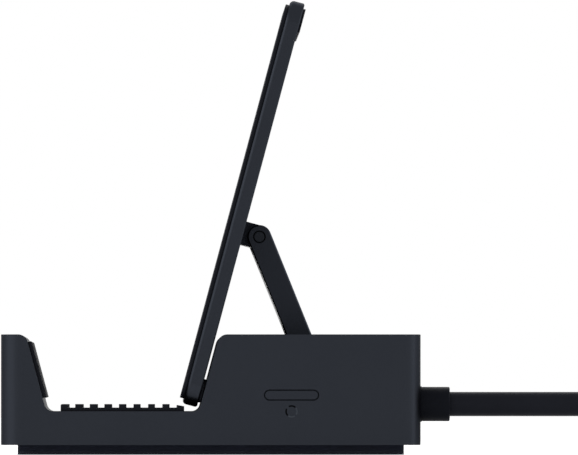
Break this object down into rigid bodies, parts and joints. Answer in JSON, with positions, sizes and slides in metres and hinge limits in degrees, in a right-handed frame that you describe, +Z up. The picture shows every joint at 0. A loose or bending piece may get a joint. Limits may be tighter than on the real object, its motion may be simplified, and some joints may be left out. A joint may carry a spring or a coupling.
{
  "type": "handheld console dock",
  "caption": "Dock for a handheld games console: open tray with soft pads, backrest plate on a folding arm, rear sockets, side button and a captive lead with a plug.",
  "frame": {"origin": "bottom centre of the dock, on the surface it stands on, midway between its sides and between lip and rear", "axes": "+X to the side with the button, +Y to the rear where the lead leaves, +Z up"},
  "size_m": [0.1532, 0.1722, 0.0951],
  "materials": {
    "dark_metal": "dark satin anodised",
    "soft_rubber": "matt",
    "dark_plastic": "matt",
    "bright_steel": "plated",
    "lead_rubber": "satin",
    "circuit_board": "lacquered",
    "frosted_plastic": "frosted"
  },
  "bodies": {
    "base": {"base_housing": "dark_metal", "tray_pad": "soft_rubber", "lip_pad": "soft_rubber", "foot_mat": "soft_rubber", "bottom_cover": "dark_plastic", "network_port_core": "dark_plastic", "data_port_1_core": "dark_plastic", "data_port_2_core": "dark_plastic", "data_port_3_core": "dark_plastic", "video_port_core": "dark_plastic", "power_port_core": "dark_plastic", "board_chips": "dark_plastic", "button_switch": "dark_plastic", "plug_grip": "dark_plastic", "lower_hinge_pin": "bright_steel", "lower_hinge_washers": "bright_steel", "cover_screws": "bright_steel", "board_screws": "bright_steel", "network_port_shell": "bright_steel", "data_port_1_shell": "bright_steel", "data_port_2_shell": "bright_steel", "data_port_3_shell": "bright_steel", "video_port_shell": "bright_steel", "power_port_shell": "bright_steel", "plug_shell": "bright_steel", "cable": "lead_rubber", "cable_tail": "lead_rubber", "strain_relief": "lead_rubber", "main_board": "circuit_board", "light_strip": "circuit_board", "light_guide": "frosted_plastic"},
    "arm": {"support_arm": "dark_metal", "upper_hinge_pin": "bright_steel", "upper_hinge_washers": "bright_steel"},
    "backrest": {"backrest_plate": "dark_metal", "backrest_pad": "soft_rubber", "lower_rear_pad": "soft_rubber", "upper_rear_pad": "soft_rubber", "hinge_knuckle": "dark_metal", "knuckle_screws": "bright_steel"},
    "button": {"light_button": "dark_metal"}
  },
  "joints": [
    {"name": "arm_hinge", "type": "hinge", "parent": "base", "child": "arm", "pos_m": [0, 0.01985, 0.0225], "axis": [1, 0, 0], "range_deg": [0, 50]},
    {"name": "backrest_hinge", "type": "hinge", "parent": "arm", "child": "backrest", "pos_m": [0, 0.01038, 0.04594], "axis": [-1, 0, 0], "range_deg": [0, 125]},
    {"name": "button_press", "type": "slide", "parent": "base", "child": "button", "axis": [-1, 0, 0], "range_m": [0, 0.0005], "stiffness_N_per_m": 2000}
  ],
  "couplings": [
    {"joint": "backrest_hinge", "follows": "arm_hinge", "ratio": 2.5}
  ]
}
